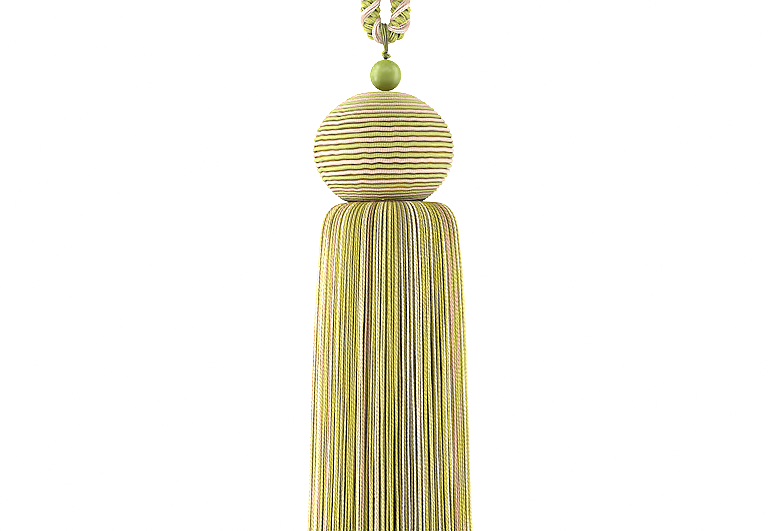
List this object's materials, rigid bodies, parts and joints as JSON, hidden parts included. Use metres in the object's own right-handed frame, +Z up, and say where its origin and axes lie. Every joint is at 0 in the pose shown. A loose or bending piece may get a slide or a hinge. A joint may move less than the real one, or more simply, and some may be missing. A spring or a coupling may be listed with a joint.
{
  "type": "curtain tieback with a tassel",
  "caption": "Tassel curtain tieback: a braided cord loop carries a lacquered bead, a wound ball head and a long skirt of cut cords.",
  "frame": {"origin": "the middle of the inner face of the cord loop's top bend, where it rests on its hook", "axes": "+Z up along the hanging tassel, -Y towards the viewer, +X to the viewer's right"},
  "size_m": [0.0835, 0.0837, 0.549],
  "materials": {
    "braided_cord": "satin yarn, yellow-green bundles plaited with pink-beige ones",
    "hanger_yarn": "fine olive and cream yarns, dull",
    "bead_lacquer": "smooth satin lacquer, yellow-green",
    "gimp_winding": "two satin gimps side by side, pink-cream and yellow-green",
    "skirt_cords": "fine twisted cords in yellow-green, olive, pink-beige and cream"
  },
  "bodies": {
    "root": {"rope": "braided_cord", "hanger": "hanger_yarn", "bead": "bead_lacquer", "head": "gimp_winding", "skirt": "skirt_cords"}
  },
  "joints": []
}
